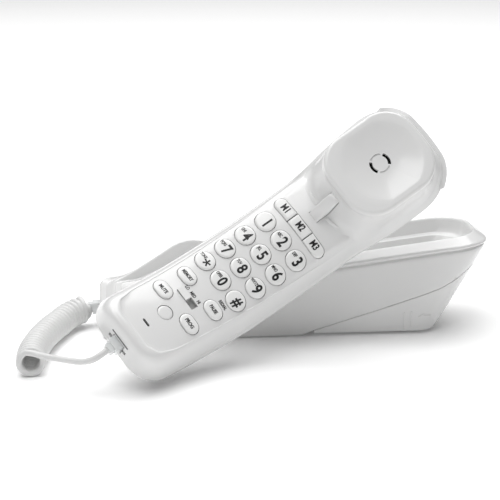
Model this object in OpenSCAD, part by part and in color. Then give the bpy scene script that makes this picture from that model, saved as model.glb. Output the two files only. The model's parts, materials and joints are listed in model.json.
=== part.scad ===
// Slimline corded telephone: a keypad handset that leans on its low cradle base.
// Millimetres. X runs to the tall end of the base, -Y to the front, Z up.
// The origin is on the desk under the middle of the base's footprint.

/* [Base] */
// Length of the footprint
base_len = 178; // [150:1:215]
// Width over the side walls
base_w = 64; // [60:0.5:80]
// Height of the rim at the tall end
base_h = 53; // [50:0.5:60]
// Overhang of the tall end beyond the footprint
tall_overhang = 38; // [30:1:46]
// Thickness of the moulded walls of the base
base_wall = 2.4; // [1.6:0.1:3]
// Depth of the handset trough below the rim
trough_depth = 15; // [8:0.5:16]
// Clear width of the trough and the ear well
trough_w = 50; // [49:0.5:51]
// Height that the rubber feet hold the base up
foot_h = 1.2; // [0.8:0.1:1.8]
// Distance between the two wall studs
stud_pitch = 83; // [70:0.5:90]
// Diameter of a keyhole's entry hole
keyhole_d = 9; // [7:0.5:11]

/* [Handset] */
// Distance from the key field's middle to the mouth end
mouth_reach = 88; // [86:0.5:96]
// Distance from the key field's middle to the ear end
ear_reach = 113; // [111:0.5:120]
// Width over the keypad
grip_w = 53; // [51:0.5:57]
// Width over the ear end
head_w = 60; // [58.5:0.5:63]
// Thickness of the grip
grip_t = 28.5; // [27:0.5:31]
// Depth of the front shell at its edge
front_depth = 16; // [14:0.5:18]
// Radius of the hollow curve of the face along its length
face_r = 165; // [150:1:200]
// Thickness of the handset's moulded walls
shell_wall = 2.2; // [1.6:0.1:2.4]
// Width of the ear cup
cup_w = 48; // [46:0.5:48.5]
// Length of the ear cup
cup_len = 54; // [52:0.5:56]
// Radius of the hollow ear dish
dish_r = 21; // [18:0.5:22]
// Depth of the ear dish
dish_depth = 2.4; // [1:0.1:2.6]

/* [Keys] */
// Distance between the three columns
col_pitch = 13; // [12.8:0.1:14]
// Distance between the four rows
row_pitch = 13.3; // [12.6:0.1:14.5]
// Length of a dial key across the handset
key_len = 11.2; // [10.4:0.1:11.4]
// Width of a dial key along the handset
key_w = 10.4; // [9.4:0.1:11.2]
// Length of a function key
fn_len = 11.4; // [10:0.1:13]
// Width of a function key
fn_w = 8.2; // [7:0.1:8.6]
// Height of a key above the face
key_rise = 1.3; // [0.6:0.1:2]
// Travel of a key
key_travel = 1.2; // [0.8:0.1:1.4]
// Gap round each key
key_gap = 0.3; // [0.2:0.05:0.35]
// Travel of the volume slider
slider_travel = 5.5; // [4:0.5:6.5]

/* [Cord] */
// Diameter of the cord's wire
wire_d = 3.4; // [3:0.1:3.8]
// Outer diameter of the curls
curl_d = 15.4; // [13:0.1:15.6]

/* [Hidden] */
$fn = 64;

fit = 0.15;              // clearance between pieces that are fixed to each other
eps = 0.01;

// --- Base: side outline, as seen from the front ---
low_x = -base_len / 2;
bottom_x = base_len / 2;
tall_x = bottom_x + tall_overhang;
rim_k = base_h / 53;                     // the rim's curve follows its height
housing_z = foot_h - 0.4;                // the side walls stop just above the desk
wedge_z = foot_h + 0.4;
crest_drop = 4.3;                        // from the rim's crest down to its outer bead
crest_in = 4;                            // from the side wall in to the crest
deck_x = low_x + 19;                     // end of the flat deck over the jacks
well_x = 50;                             // start of the ear well
// crest of the rim from the low end to the tall end, measured from the low end
crest = [[0, 17.5], [2, 18.5], [5, 19], [14, 22], [27, 29.6], [39, 37.2], [44, 40],
    [50, 41.6], [57, 41.3], [65, 39.9], [83, 38.4], [103, 40.2], [133, 44.5], [186, 51.5],
    [base_len + tall_overhang - 8, 53], [base_len + tall_overhang - 3, 52.2],
    [base_len + tall_overhang, 49]];
// seam between the housing and the wedge bracket
seam = [[20, housing_z], [24, 2.8], [35, 6.1], [60, 13.7], [87, 22.3], [96, 25.6], [104, 29.6], [110, 34]];
trough_floor = [[deck_x, 18], [deck_x + 22, 38 * rim_k - trough_depth], [well_x, 45 * rim_k - trough_depth]];
well_floor = [[well_x, 22], [80, 27.5], [104, 37], [tall_x - 9, 44]];

function rim(drop) = [for (p = crest) [low_x + p[0], p[1] * rim_k - drop * min(1, p[0] / 40)]];
function moved(pts, dx, dz) = [for (p = pts) [p[0] + dx, p[1] + dz]];
function backwards(pts, first, last) = [for (i = [first:-1:last]) pts[i]];
function end_line(z) = bottom_x - 1.4 + (tall_x - bottom_x) * (z - wedge_z) / (base_h - 11 - wedge_z);

// --- Base: plan outline, rounded at both ends ---
module base_plan(inset) {
    half = base_w / 2 - inset;
    end_r = 22 - inset * 0.5;
    low_r = 9;
    x0 = low_x + inset;
    x1 = tall_x - inset;
    polygon(concat(
        [for (a = [-90:10:90]) [x1 - end_r + end_r * cos(a), (half - end_r) * sign(a) + end_r * sin(a)]],
        [for (a = [90:15:180]) [x0 + low_r + low_r * cos(a), half - low_r + low_r * sin(a)]],
        [for (a = [180:15:270]) [x0 + low_r + low_r * cos(a), low_r - half + low_r * sin(a)]]));
}

module base_column(inset) {
    translate([0, 0, -10]) linear_extrude(base_h + 60) base_plan(inset);
}

// A prism of a side outline, given as [x, z] points, across the base's width
module side_prism(pts, half) {
    translate([0, half, 0]) rotate([90, 0, 0]) linear_extrude(2 * half) polygon(pts);
}

module base_block(inset, drop) {
    intersection() {
        base_column(inset);
        side_prism(concat([[low_x, housing_z]], rim(drop), [[end_line(34.2), 34.2]], backwards(seam, 7, 0)), base_w);
    }
}

// Jacks on the low end wall
jack_z = 10.6;
jack_w = 12.4;
jack_h = 9.6;
jack_len = 13;
cord_jack_y = 0;
line_jack_y = 14.4;
plug_w = 7.6;
plug_h = 6.2;
cover_z = foot_h;        // underside of the lower cover
cover_t = 2.2;
cover_top = cover_z + cover_t;
tower_r = 4;
screw_r = 1.4;
screw_spots = [[-66, 22.5], [-66, -22.5], [12, 22.5], [12, -22.5]];
stud_x = [-66, stud_pitch - 66];
foot_spots = [[-78, 18], [-78, -18], [76, 20], [76, -20]];
foot_r = 5;
pcb_z = 8;
pcb_posts = [[-20, 16], [-20, -16], [4, 16], [4, -16]];

// The handset's trough and ear well, or with w > 0 the body that walls them in
module trough(w) {
    intersection() {
        union() {
            side_prism(concat([[deck_x - w, 90]], moved(trough_floor, -w / 2, -w), [[well_x + 1, 90]]),
                trough_w / 2 + w);
            side_prism(concat([[well_x - w, 90]], moved(well_floor, w / 2, -w), [[tall_x - 9 + w, 90]]),
                trough_w / 2 + w);
        }
        base_column((base_w - trough_w) / 2 - w);
    }
}

module base_cavity() {
    w = base_wall;
    difference() {
        intersection() {
            base_column(w);
            side_prism(concat([[low_x, -9]], moved(rim(crest_drop), 0, -w), [[end_line(34) - 2, 34], [90, -9]]), base_w);
        }
        trough(w);
    }
}

module base_top_housing() {
    color("whitesmoke") difference() {
        union() {
            base_block(0, crest_drop);
            base_block(crest_in, 0);
        }
        trough(0);
        base_cavity();
        for (y = [cord_jack_y, line_jack_y]) translate([low_x - 1, y - jack_w / 2 + 1, jack_z - jack_h / 2 + 1])
            cube([base_wall + 2, jack_w - 2, jack_h - 2]);
    }
    // rib that presses the hook lever when the handset lies in the base
    color("whitesmoke") translate([well_x - 6, -4, trough_floor[2][1] - 1]) cube([4, 8, 7]);
    color("whitesmoke") for (p = screw_spots) translate([p[0], p[1], cover_top])
        difference() {
            cylinder(r = tower_r, h = lookup(p[0], trough_floor) - 1 - cover_top);
            translate([0, 0, -1]) cylinder(r = screw_r, h = 9);
        }
}

module base_lower_cover() {
    plate = concat([[low_x, cover_z]], moved([for (i = [0:6]) seam[i]], 0, 0.4));
    color("gainsboro") difference() {
        union() {
            intersection() {
                base_column(base_wall + fit);
                side_prism(concat(plate, backwards(moved(plate, 0, cover_t), 7, 0)), base_w);
            }
            for (p = pcb_posts) translate([p[0], p[1], cover_z + 1]) cylinder(r = 2.5, h = pcb_z - cover_z - 1);
        }
        for (p = screw_spots) translate([p[0], p[1], 0]) {
            cylinder(r = screw_r + 0.3, h = 20);
            cylinder(r = 3.1, h = cover_z + 1);
        }
        for (x = stud_x) {
            translate([x, 0, -1]) cylinder(d = keyhole_d, h = 10);
            translate([x, -2.2, -1]) cube([10, 4.4, 10]);
        }
    }
}

module wedge_bracket() {
    w = base_wall;
    color("whitesmoke") difference() {
        intersection() {
            base_column(0);
            side_prism(concat([[27, wedge_z], [bottom_x - 1.4, wedge_z], [end_line(33.8), 33.8]],
                backwards(moved(seam, 0, -0.35), 7, 1)), base_w);
        }
        intersection() {
            base_column(w);
            side_prism([[32, wedge_z + w], [bottom_x - 4, wedge_z + w], [end_line(31) - 3, 31],
                [end_line(31) - 3, 90], [32, 90]], base_w);
        }
        // window in its floor for the line cord
        translate([58, -9, -1]) cube([16, 18, 8]);
    }
    // stiffening ribs
    color("whitesmoke") for (x = [48, 84])
        translate([x, w - base_w / 2 - eps, wedge_z + w - eps]) cube([2, base_w - 2 * w + 2 * eps, x * 0.3 - 12]);
}

module ballast_plate() {
    color("dimgray") translate([-50, -24, cover_top]) cube([24, 48, 5]);
}

module base_pcb() {
    color("seagreen") translate([-24, -21, pcb_z]) cube([32, 42, 1.6]);
}

module ringer_disc() {
    color("goldenrod") translate([-8, 0, pcb_z + 1.6]) cylinder(r = 10, h = 4);
}

// A modular jack: a box with an open socket, its mouth towards -X
module jack_box() {
    difference() {
        translate([0, -jack_w / 2, -jack_h / 2]) cube([jack_len, jack_w, jack_h]);
        translate([-1, -plug_w / 2 - 0.2, -plug_h / 2 - 0.2]) cube([jack_len - 2, plug_w + 0.4, plug_h + 0.4]);
    }
}

module base_cord_jack() {
    color("lightgray") translate([low_x + base_wall, cord_jack_y, jack_z]) jack_box();
}

module line_jack() {
    color("lightgray") translate([low_x + base_wall, line_jack_y, jack_z]) jack_box();
}

module rubber_feet() {
    color("darkgray") for (p = foot_spots) translate([p[0], p[1], 0])
        cylinder(r = foot_r, h = p[0] < 0 ? cover_z : wedge_z);
}

module base_screws() {
    color("silver") for (p = screw_spots) translate([p[0], p[1], cover_z]) {
        cylinder(r = 2.7, h = 1);
        translate([0, 0, 1 - eps]) cylinder(r = screw_r - 0.05, h = 7);
    }
}

// --- Handset, in its own frame: x across, y to the ear end, z out of the face ---
crown_r = 94;                            // the face is a little round across its width
seam_r = face_r + front_depth;
back_r = face_r + grip_t;
valley_y = 52;                           // where the panel ends and the head begins
cup_y = 78.5;
cup_z = 30;
cup_tilt = 11;
cup_corner = 17;
mouth_corner = 17;
ear_corner = 20;
rest_turn = [34.2, 44.9, -37];           // how the handset leans
rest_at = [-11.8, -base_w / 2 - 35, 52.8];

function face_z(y) = face_r - sqrt(face_r * face_r - y * y);
function seam_z(y) = face_r - sqrt(seam_r * seam_r - y * y);
function back_z(y) = face_r - sqrt(back_r * back_r - y * y);
function crown(x) = x * x / (2 * crown_r);

module on_handset() {
    translate(rest_at) rotate(rest_turn) children();
}

// A place on the face, with z along the face's normal
module on_face(y) {
    translate([0, 0, face_r]) rotate([asin(y / face_r), 0, 0]) translate([0, 0, -face_r]) children();
}

module on_cup() {
    translate([0, cup_y, cup_z]) rotate([cup_tilt, 0, 0]) children();
}

// Cylinder across the handset about the face's centre of curvature
module drum(r) {
    translate([0, 0, face_r]) rotate([0, -90, 0]) cylinder(r = r, h = 90, center = true, $fn = 360);
}

// Half of the cross-section as [x, depth] points, moved in by a wall
function section(w) = concat(
    [for (i = [0:5]) [i * 4.5, crown(i * 4.5) + w]],
    [[head_w / 2 - w, front_depth - 1], [head_w / 2 - w, front_depth + 0.6]],
    [for (a = [15:15:75]) [head_w / 2 - w - 18 + 18 * cos(a), grip_t - w - 14 + 14 * sin(a)]],
    [[head_w / 2 - 19, grip_t - w - 0.3], [0, grip_t - w]]);

module curved_bar(w) {
    pts = section(w);
    whole = concat(pts, [for (i = [len(pts) - 2:-1:1]) [-pts[i][0], pts[i][1]]]);
    translate([0, 0, face_r]) rotate([0, 90, 0]) rotate([0, 0, -45]) rotate_extrude(angle = 90, $fn = 360)
        polygon([for (p = whole) [face_r + p[1], p[0]]]);
}

module handset_plan(inset) {
    y0 = -mouth_reach + inset;
    y1 = ear_reach - inset;
    grip = grip_w / 2 - inset;
    head = head_w / 2 - inset;
    mc = mouth_corner - inset;
    ec = ear_corner - inset;
    half = concat(
        [for (a = [-90:15:0]) [grip - 1.2 - mc + mc * cos(a), y0 + mc + mc * sin(a)]],
        [[grip, -20], [grip, 40], [grip + 0.3, 58], [head - 0.3, 78]],
        [for (a = [0:15:75]) [head - ec + ec * cos(a), y1 - 1 - ec + ec * sin(a)]],
        [[0, y1]]);
    polygon(concat(half, [for (i = [len(half) - 2:-1:0]) [-half[i][0], half[i][1]]]));
}

// Side view under the face, the valley and the head's shoulders
module side_limit(w) {
    pts = concat(
        [[34 - mouth_reach + w, -60], [12 - mouth_reach + w, w - 12], [w - mouth_reach, w + 2], [w - mouth_reach, 20 - w],
            [3 - mouth_reach + w, 23.5 - w]],
        [[7.5 - mouth_reach, 60], [44, 60]],
        [[50, face_z(50) - w], [valley_y, 5.5 - w], [80, 12 - w], [100, 21 - w], [ear_reach - 4, 26.5 - w],
         [ear_reach - w, 24 - w], [ear_reach - w, 10 + w], [ear_reach - 8 - w, -2 + w], [ear_reach - 8 - w, -60]]);
    translate([-60, 0, 0]) rotate([90, 0, 90]) linear_extrude(120) polygon(pts);
}

module cup_plan(inset) {
    a = cup_w / 2 - inset;
    b = cup_len / 2 - inset;
    r = cup_corner - inset;
    polygon([for (q = [0:3], t = [0:15:90])
        let (s = [1, -1, -1, 1][q], u = [1, 1, -1, -1][q])
        [s * (a - r) + r * cos(q * 90 + t), u * (b - r) + r * sin(q * 90 + t)]]);
}

module handset_body(w) {
    intersection() {
        curved_bar(w);
        translate([0, 0, -60]) linear_extrude(140) handset_plan(w);
        side_limit(w);
    }
}

module cup_block(inset, top) {
    intersection() {
        on_cup() translate([0, 0, -30]) linear_extrude(30 - top) cup_plan(inset);
        drum(seam_r - 0.5);
    }
}

// Places of the keys
key_rows = [1.5, 0.5, -0.5, -1.5];
function dial_at(i) = [(i % 3 - 1) * col_pitch, key_rows[floor(i / 3)] * row_pitch];
m_y = 32.2;
m_len = 38.2;
m_w = 6.8;
m_gap = 0.5;
fn_x = 11;
fn_low = -49.7;
fn_high = -33.6;
vol_x = -1;
vol_y = -41.5;
vol_len = 13;
vol_w = 4.2;
face_plug_y = -57.1;
face_plug_r = 4.2;
mic_y = -69.8;
lever_w = 6.4;
lever_y = 42;
lever_z = 0.5;
pin_r = 1;
case_screws = [-63, 101];                // y places of the two case screws
case_tube = 3;
case_r = 1.3;
socket_z = 11;
socket_w = 11;
socket_h = 8.6;

// Outline with half-round ends, length across the handset
module stadium(length, w) {
    polygon([for (s = [1, -1], a = [-90:15:90])
        [s * ((length - w) / 2 + cos(a) * w / 2), s * sin(a) * w / 2]]);
}

module face_cuts() {
    g = 2 * key_gap;
    for (i = [0:11]) translate([dial_at(i)[0], dial_at(i)[1], -8])
        linear_extrude(30) stadium(key_len + g, key_w + g);
    translate([0, m_y, -8]) linear_extrude(30) stadium(m_len + g, m_w + g);
    for (x = [-fn_x, fn_x], y = [fn_low, fn_high])
        translate([x, y, -4]) linear_extrude(30) stadium(fn_len + g, fn_w + g);
    translate([vol_x - vol_len / 2, vol_y - vol_w / 2, -4]) cube([vol_len, vol_w, 30]);
    translate([0, face_plug_y, 0]) cylinder(r = face_plug_r, h = 30);
    on_face(mic_y) translate([-2.4, -0.7, -5]) cube([4.8, 1.4, 12]);
    // slot of the hook lever, up into the wall of the cup
    translate([-lever_w / 2 - 0.4, lever_y - 1.8, -4]) cube([lever_w + 0.8, 19, 23]);
    on_cup() for (a = [0:90:270]) rotate([0, 0, a + 45]) translate([4.6, 0, -7]) cube([1.1, 5, 16], center = true);
}

module mouth_opening() {
    translate([-socket_w / 2, -mouth_reach - 2, socket_z - socket_h / 2]) cube([socket_w, 6, socket_h]);
}

// Top of the front shell's screw tubes, a little into the wall above
function tube_top(y) = y < 0 ? face_z(y) - shell_wall + 1 : cup_z + (y - cup_y) * 0.19 - shell_wall - dish_depth + 0.8;

module handset_front() {
    color("whitesmoke") on_handset() difference() {
        union() {
            difference() {
                union() {
                    intersection() {
                        handset_body(0);
                        drum(seam_r);
                    }
                    cup_block(0, 0);
                }
                handset_body(shell_wall);
                cup_block(shell_wall, shell_wall + dish_depth);
                on_cup() translate([0, 0, -dish_depth]) cylinder(r = dish_r, h = 20);
            }
            // cheeks that carry the hook pin
            for (s = [-1, 1]) translate([s * 6.5 - 1, lever_y - 2.5, lever_z - 2.5]) cube([2, 5, 5.8]);
            for (y = case_screws) translate([0, y, seam_z(y) + 0.2])
                cylinder(r = case_tube, h = tube_top(y) - seam_z(y) - 0.2);
        }
        face_cuts();
        translate([-20, lever_y, lever_z]) rotate([0, 90, 0]) cylinder(r = pin_r + 0.02, h = 40);
        for (y = case_screws) translate([0, y, seam_z(y) - 1]) cylinder(r = case_r + 0.05, h = 9);
        mouth_opening();
    }
}

board_z = -10.5;
board_t = 1.6;
mat_z = board_z + board_t;
board_pillars = [[17.5, 33], [-17.5, 33], [17.5, -54], [-17.5, -54]];

module handset_back() {
    color("whitesmoke") on_handset() difference() {
        union() {
            difference() {
                handset_body(0);
                drum(seam_r + 0.1);
                handset_body(shell_wall);
            }
            for (y = case_screws) translate([0, y, back_z(y) + 1]) cylinder(r = case_tube + 1, h = seam_z(y) - back_z(y) - 1);
            for (p = board_pillars) translate([p[0], p[1], back_z(p[1]) + 1])
                cylinder(r = 2.2, h = board_z - back_z(p[1]) - 1);
        }
        for (y = case_screws) translate([0, y, back_z(y) - 10]) {
            cylinder(r = case_r + 0.2, h = 60);
            cylinder(r = 2.9, h = 15);
        }
        mouth_opening();
    }
}

module handset_screws() {
    color("silver") on_handset() for (y = case_screws) translate([0, y, back_z(y) + 5]) {
        translate([0, 0, -1.6]) cylinder(r = 2.5, h = 1.6);
        translate([0, 0, -eps]) cylinder(r = case_r, h = seam_z(y) - back_z(y) + 2);
    }
}

module handset_pcb() {
    color("seagreen") on_handset() translate([-21, -58, board_z]) cube([42, 106, board_t]);
}

module key_mat() {
    color("lightsteelblue") on_handset() difference() {
        union() {
            translate([-20, -55.5, mat_z]) cube([40, 91.5, 0.8]);
            for (i = [0:11]) translate([dial_at(i)[0], dial_at(i)[1], mat_z]) cylinder(r = 3.5, h = 1.4);
        }
        translate([-9, vol_y - 3.6, mat_z - 1]) cube([16, 7.2, 5]);
    }
}

stem_z = mat_z + 1.4 + key_travel + 0.1;

// A key of outline length by w: a cap through the face and a flange under the wall.
module key_solid(x, y, length, w) {
    low = crown(abs(x) + length / 2) + shell_wall + fit;
    difference() {
        translate([x, y, stem_z]) linear_extrude(40) stadium(length, w);
        drum(face_r + crown(x) - key_rise);
    }
    difference() {
        translate([x, y, stem_z]) linear_extrude(40) stadium(length + 1.2, w + 1.4);
        drum(face_r + low);
    }
}

module dial_key(i) {
    color("white") on_handset() key_solid(dial_at(i)[0], dial_at(i)[1], key_len, key_w);
}

module fn_key(x, y) {
    color("white") on_handset() key_solid(x, y, fn_len, fn_w);
}

// One third of the bar of memory keys
module memory_key(k) {
    third = m_len / 3;
    left = k == 0 ? 3 : -m_gap / 2;
    right = k == 2 ? 3 : -m_gap / 2;
    color("white") on_handset() intersection() {
        key_solid(0, m_y, m_len, m_w);
        translate([k * third - m_len / 2 - left, m_y - 10, -20]) cube([third + left + right, 20, 60]);
    }
}

module key_1() { dial_key(0); }
module key_2() { dial_key(1); }
module key_3() { dial_key(2); }
module key_4() { dial_key(3); }
module key_5() { dial_key(4); }
module key_6() { dial_key(5); }
module key_7() { dial_key(6); }
module key_8() { dial_key(7); }
module key_9() { dial_key(8); }
module key_star() { dial_key(9); }
module key_0() { dial_key(10); }
module key_pound() { dial_key(11); }
module key_m1() { memory_key(0); }
module key_m2() { memory_key(1); }
module key_m3() { memory_key(2); }
module key_mute() { fn_key(-fn_x, fn_low); }
module key_memory() { fn_key(-fn_x, fn_high); }
module key_pause() { fn_key(fn_x, fn_high); }
module key_prog() { fn_key(fn_x, fn_low); }

// Volume slider: knob, shoe under the face, peg into the switch. It rests at the low end.
knob_len = vol_len - slider_travel - 0.6;
knob_x = vol_x - slider_travel / 2;
shoe_z = 0.2;

module volume_slider() {
    color("white") on_handset() {
        difference() {
            translate([knob_x - knob_len / 2, vol_y - vol_w / 2 + 0.3, shoe_z]) cube([knob_len, vol_w - 0.6, 20]);
            drum(face_r - 1.1);
        }
        translate([knob_x - 8.5, vol_y - 2.7, shoe_z]) cube([17, 5.4, 1]);
        translate([knob_x - 1, vol_y - 1, -6.5]) cube([2, 2, shoe_z + 6.6]);
    }
}

module volume_switch() {
    color("dimgray") on_handset() difference() {
        translate([-8.5, vol_y - 3, mat_z]) cube([15, 6, 4]);
        translate([knob_x - 1.6, vol_y - 1.4, mat_z + 1.5]) cube([slider_travel + 3.2, 2.8, 5]);
    }
}

module face_plug() {
    color("white") on_handset() difference() {
        translate([0, face_plug_y, 6.5]) cylinder(r = face_plug_r - 0.05, h = 12);
        drum(face_r);
    }
}

module hook_pin() {
    color("silver") on_handset() translate([-8.2, lever_y, lever_z]) rotate([0, 90, 0]) cylinder(r = pin_r, h = 16.4);
}

module hook_spring() {
    color("silver") on_handset() translate([3.7, lever_y, lever_z]) rotate([0, 90, 0]) difference() {
        cylinder(r = 2.1, h = 1.5);
        translate([0, 0, -1]) cylinder(r = pin_r + 0.3, h = 4);
    }
}

module hook_switch() {
    color("dimgray") on_handset() translate([-4, 38, mat_z]) cube([8, 7, 3.2]);
}

// Hook lever: hub on the pin, tab that stands up in front of the ear cup
module hook_lever() {
    color("whitesmoke") on_handset() translate([-lever_w / 2, lever_y, lever_z]) rotate([90, 0, 90]) difference() {
        union() {
            cylinder(r = 2.3, h = lever_w);
            linear_extrude(lever_w) polygon([[-1.6, 1.6], [0.9, 5.4], [9.2, 14.9], [10.4, 15.3], [11.4, 14.7],
                [11.7, 13.4], [5.2, 4.4], [2.2, -0.6], [-0.4, -3.6], [-1.8, -2.6]]);
        }
        translate([0, 0, -1]) cylinder(r = pin_r + 0.05, h = 20);
    }
}

module receiver_gasket() {
    color("dimgray") on_handset() on_cup() translate([0, 0, -shell_wall - dish_depth - 1]) difference() {
        cylinder(r = 17, h = 1);
        translate([0, 0, -1]) cylinder(r = 13, h = 4);
    }
}

module receiver_capsule() {
    color("silver") on_handset() on_cup() translate([0, 0, -shell_wall - dish_depth - 8]) cylinder(r = 17, h = 7);
}

module microphone() {
    color("silver") on_handset() on_face(mic_y) translate([0, 0, -shell_wall - 5.8]) cylinder(r = 2.3, h = 5);
}

module mic_boot() {
    color("dimgray") on_handset() on_face(mic_y) translate([0, 0, -shell_wall - 5.4]) difference() {
        cylinder(r = 3.3, h = 5.2);
        translate([0, 0, -1]) cylinder(r = 2.35, h = 9);
    }
}

module handset_jack() {
    color("lightgray") on_handset() translate([0, shell_wall - mouth_reach, socket_z]) difference() {
        translate([-6.2, 0, -5.2]) cube([12.4, 8.5, 10.4]);
        translate([-plug_w / 2 - 0.2, -1, -plug_h / 2 - 0.2]) cube([plug_w + 0.4, 8, plug_h + 0.4]);
    }
}

// A modular plug with its short boot, pointing along +X
module plug(outside) {
    translate([-outside, -plug_w / 2, -plug_h / 2]) cube([outside + 9, plug_w, plug_h]);
    translate([-outside - 2.5, -2.6, -2.4]) cube([2.5 + eps, 5.2, 4.8]);
}

plug_base_out = 5;
plug_hand_out = 2;

module plug_base() {
    color("white") translate([low_x, cord_jack_y, jack_z]) plug(plug_base_out);
}

module plug_handset() {
    color("white") on_handset() translate([0, -mouth_reach, socket_z]) rotate([0, 0, 90]) plug(plug_hand_out);
}

// --- Cord ---
function unit(v) = v / norm(v);
function heading(pts, i) = unit(pts[min(i + 1, len(pts) - 1)] - pts[max(i - 1, 0)]);

// Tube of radius r through points, with the end faces square to first and last
module tube(pts, r, sides, first, last) {
    n = len(pts);
    rings = [for (i = [0:n - 1])
        let (t = i == 0 ? unit(first) : i == n - 1 ? unit(last) : heading(pts, i),
             u = unit(cross([0, 0, 1], t)), v = cross(t, u))
        [for (k = [0:sides - 1]) pts[i] + r * (cos(k * 360 / sides) * u + sin(k * 360 / sides) * v)]];
    polyhedron(points = [for (ring = rings, p = ring) p], faces = concat(
        [[for (k = [0:sides - 1]) k]],
        [for (i = [0:n - 2], k = [0:sides - 1]) let (a = i * sides + k, b = i * sides + (k + 1) % sides)
            [a, a + sides, b + sides, b]],
        [[for (k = [sides - 1:-1:0]) (n - 1) * sides + k]]), convexity = 6);
}

curl_z = curl_d / 2 + 0.1;
lead_x = low_x - plug_base_out - 2.5;
coil_path = [[lead_x - 3, 0, jack_z], [-100, -0.6, 10.2], [-104, -4, 9], [-108.5, -11, 8.2], [-112, -20, curl_z],
    [-115.7, -30, curl_z], [-119.5, -43, curl_z], [-122, -55, curl_z], [-124, -68, curl_z], [-124.6, -78, curl_z],
    [-124.4, -87, curl_z]];
function out_of_handset(p) = rest_at + rot_x_y_z(p);
function rot_x_y_z(p) = let (
    a = rest_turn[0], b = rest_turn[1], c = rest_turn[2],
    q = [p[0], p[1] * cos(a) - p[2] * sin(a), p[1] * sin(a) + p[2] * cos(a)],
    s = [q[0] * cos(b) + q[2] * sin(b), q[1], -q[0] * sin(b) + q[2] * cos(b)])
    [s[0] * cos(c) - s[1] * sin(c), s[0] * sin(c) + s[1] * cos(c), s[2]];
tail_end = [0, -mouth_reach - plug_hand_out - 2.5, socket_z];
tail_path = [[-122.4, -87, 13.2], [-122, -89.4, 13.2], [-120, -91.6, 13.2], [-115, -95.6, 13.3], [-109, -100.8, 13.8],
    [-103.5, -106.6, 14.6], [-98.5, -112, 15.8], [-94, -115.6, 17.6], [-90.6, -116.8, 19.6],
    out_of_handset(tail_end - [0, 1.5, 0]), out_of_handset(tail_end)];

module cord_lead() {
    color("white") tube([[lead_x, 0, jack_z], [lead_x - 3, 0, jack_z]], wire_d / 2, 8, [-1, 0, 0], [-1, 0, 0]);
}

module cord_coil() {
    color("white") tube(coil_path, curl_d / 2, 12, [-1, 0, 0], [0, -1, 0]);
}

module cord_tail() {
    color("white") tube(tail_path, wire_d / 2, 8, [0, -1, 0], out_of_handset([0, 1, 0]) - rest_at);
}

base_top_housing();
base_lower_cover();
wedge_bracket();
ballast_plate();
base_pcb();
ringer_disc();
base_cord_jack();
line_jack();
rubber_feet();
base_screws();
handset_front();
handset_back();
handset_pcb();
key_mat();
receiver_capsule();
receiver_gasket();
microphone();
mic_boot();
handset_jack();
handset_screws();
face_plug();
hook_pin();
hook_spring();
hook_switch();
volume_switch();
key_1();
key_2();
key_3();
key_4();
key_5();
key_6();
key_7();
key_8();
key_9();
key_star();
key_0();
key_pound();
key_m1();
key_m2();
key_m3();
key_mute();
key_memory();
key_pause();
key_prog();
volume_slider();
hook_lever();
cord_lead();
cord_coil();
cord_tail();
plug_base();
plug_handset();
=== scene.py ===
import json
import math

import bmesh
import bpy
from mathutils import Euler, Matrix, Vector

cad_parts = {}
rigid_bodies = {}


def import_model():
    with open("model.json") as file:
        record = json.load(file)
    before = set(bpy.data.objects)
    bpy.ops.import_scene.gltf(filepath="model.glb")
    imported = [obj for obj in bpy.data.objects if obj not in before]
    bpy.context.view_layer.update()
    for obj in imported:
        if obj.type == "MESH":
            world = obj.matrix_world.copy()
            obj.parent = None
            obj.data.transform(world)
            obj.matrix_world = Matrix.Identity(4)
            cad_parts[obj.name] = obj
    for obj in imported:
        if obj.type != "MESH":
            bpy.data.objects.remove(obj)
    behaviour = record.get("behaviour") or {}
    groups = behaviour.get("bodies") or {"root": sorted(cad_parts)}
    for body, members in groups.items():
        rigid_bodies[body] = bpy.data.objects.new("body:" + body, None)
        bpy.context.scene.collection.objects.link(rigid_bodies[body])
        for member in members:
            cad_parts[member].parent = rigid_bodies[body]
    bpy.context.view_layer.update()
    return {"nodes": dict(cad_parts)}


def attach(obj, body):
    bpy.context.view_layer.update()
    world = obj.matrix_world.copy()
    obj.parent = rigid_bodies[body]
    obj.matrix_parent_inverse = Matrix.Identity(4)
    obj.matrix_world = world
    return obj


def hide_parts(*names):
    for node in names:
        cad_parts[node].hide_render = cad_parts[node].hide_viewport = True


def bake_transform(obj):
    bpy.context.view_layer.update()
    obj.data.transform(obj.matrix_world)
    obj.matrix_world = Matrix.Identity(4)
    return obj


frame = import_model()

mm = 0.001
print("frame loaded")


def along(points, at):
    # smooth curve through (position, value) pairs
    if at <= points[0][0]:
        return points[0][1]
    if at >= points[-1][0]:
        return points[-1][1]
    i = 0
    while points[i + 1][0] < at:
        i += 1
    (x1, y1), (x2, y2) = points[i], points[i + 1]
    x0, y0 = points[max(i - 1, 0)]
    x3, y3 = points[min(i + 2, len(points) - 1)]
    s1 = (y2 - y0) / (x2 - x0)
    s2 = (y3 - y1) / (x3 - x1)
    t = (at - x1) / (x2 - x1)
    span = x2 - x1
    return ((2 * t**3 - 3 * t**2 + 1) * y1 + (t**3 - 2 * t**2 + t) * span * s1
            + (3 * t**2 - 2 * t**3) * y2 + (t**3 - t**2) * span * s2)


def straight(points, at):
    # the same with straight runs between the points
    if at <= points[0][0]:
        return points[0][1]
    for (x1, y1), (x2, y2) in zip(points, points[1:]):
        if at <= x2:
            return y1 + (y2 - y1) * (at - x1) / (x2 - x1)
    return points[-1][1]


def linearFromHex(code):
    out = []
    for i in (0, 2, 4):
        c = int(code[i:i + 2], 16) / 255
        out.append(c / 12.92 if c <= 0.04045 else ((c + 0.055) / 1.055) ** 2.4)
    return (*out, 1)


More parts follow.
